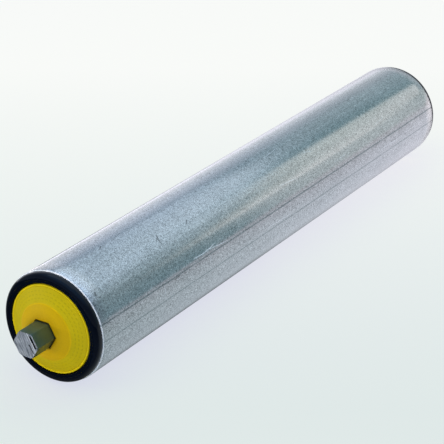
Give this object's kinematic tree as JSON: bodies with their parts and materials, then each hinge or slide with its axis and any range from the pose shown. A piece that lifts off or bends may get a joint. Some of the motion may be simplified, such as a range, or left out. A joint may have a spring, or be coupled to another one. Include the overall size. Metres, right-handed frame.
{
  "type": "conveyor roller",
  "caption": "Steel conveyor roller tube on ball bearings, with moulded end caps, domed seal discs and a spring-loaded hexagonal through axle.",
  "frame": {"origin": "middle of the roller, on the axle's centre line", "axes": "+Y along the axle, towards the end that holds the axle spring; +X and +Z square to it, with two flats of the hexagon facing up and down"},
  "size_m": [0.05, 0.338, 0.05],
  "materials": {
    "zinc_steel": "zinc-plated, fine drawn grain, semi-gloss",
    "axle_steel": "drawn bright bar, sawn ends",
    "black_plastic": "moulded polyamide, polished",
    "yellow_plastic": "moulded, satin",
    "bearing_steel": "ground and polished",
    "cage_plastic": "moulded polyamide, natural",
    "shield_rubber": "moulded on a pressed ring",
    "bush_plastic": "moulded, glass-filled",
    "washer_steel": "zinc-plated, stamped",
    "spring_steel": "oiled spring steel"
  },
  "bodies": {
    "axle": {"axle": "axle_steel", "near_stop_washer": "washer_steel", "near_clip": "spring_steel", "far_clip": "spring_steel", "spring_seat_washer": "washer_steel", "axle_spring": "spring_steel"},
    "inner_races": {"near_seal_disc": "yellow_plastic", "far_seal_disc": "yellow_plastic", "near_inner_ring": "bearing_steel", "far_inner_ring": "bearing_steel", "near_hex_bush": "bush_plastic", "far_hex_bush": "bush_plastic", "spring_thrust_washer": "washer_steel"},
    "shell": {"tube": "zinc_steel", "near_housing": "black_plastic", "far_housing": "black_plastic", "near_outer_ring": "bearing_steel", "far_outer_ring": "bearing_steel", "near_shield_out": "shield_rubber", "far_shield_out": "shield_rubber", "near_shield_in": "shield_rubber", "far_shield_in": "shield_rubber"},
    "near_ball_set": {"near_balls": "bearing_steel", "near_cage": "cage_plastic"},
    "far_ball_set": {"far_balls": "bearing_steel", "far_cage": "cage_plastic"}
  },
  "joints": [
    {"name": "axle_slide", "type": "slide", "parent": "axle", "child": "inner_races", "axis": [0, -1, 0], "range_m": [0, 0.011], "stiffness_N_per_m": 1200, "springref_m": -0.01, "deforming": ["axle_spring"]},
    {"name": "roller_spin", "type": "hinge", "parent": "inner_races", "child": "shell", "pos_m": [0, 0, 0], "axis": [0, 1, 0], "continuous": true},
    {"name": "near_balls_spin", "type": "hinge", "parent": "inner_races", "child": "near_ball_set", "pos_m": [0, -0.1423, 0], "axis": [0, 1, 0], "continuous": true},
    {"name": "far_balls_spin", "type": "hinge", "parent": "inner_races", "child": "far_ball_set", "pos_m": [0, 0.1423, 0], "axis": [0, 1, 0], "continuous": true}
  ],
  "couplings": [
    {"joint": "near_balls_spin", "follows": "roller_spin", "ratio": 0.6013},
    {"joint": "far_balls_spin", "follows": "roller_spin", "ratio": 0.6013}
  ]
}
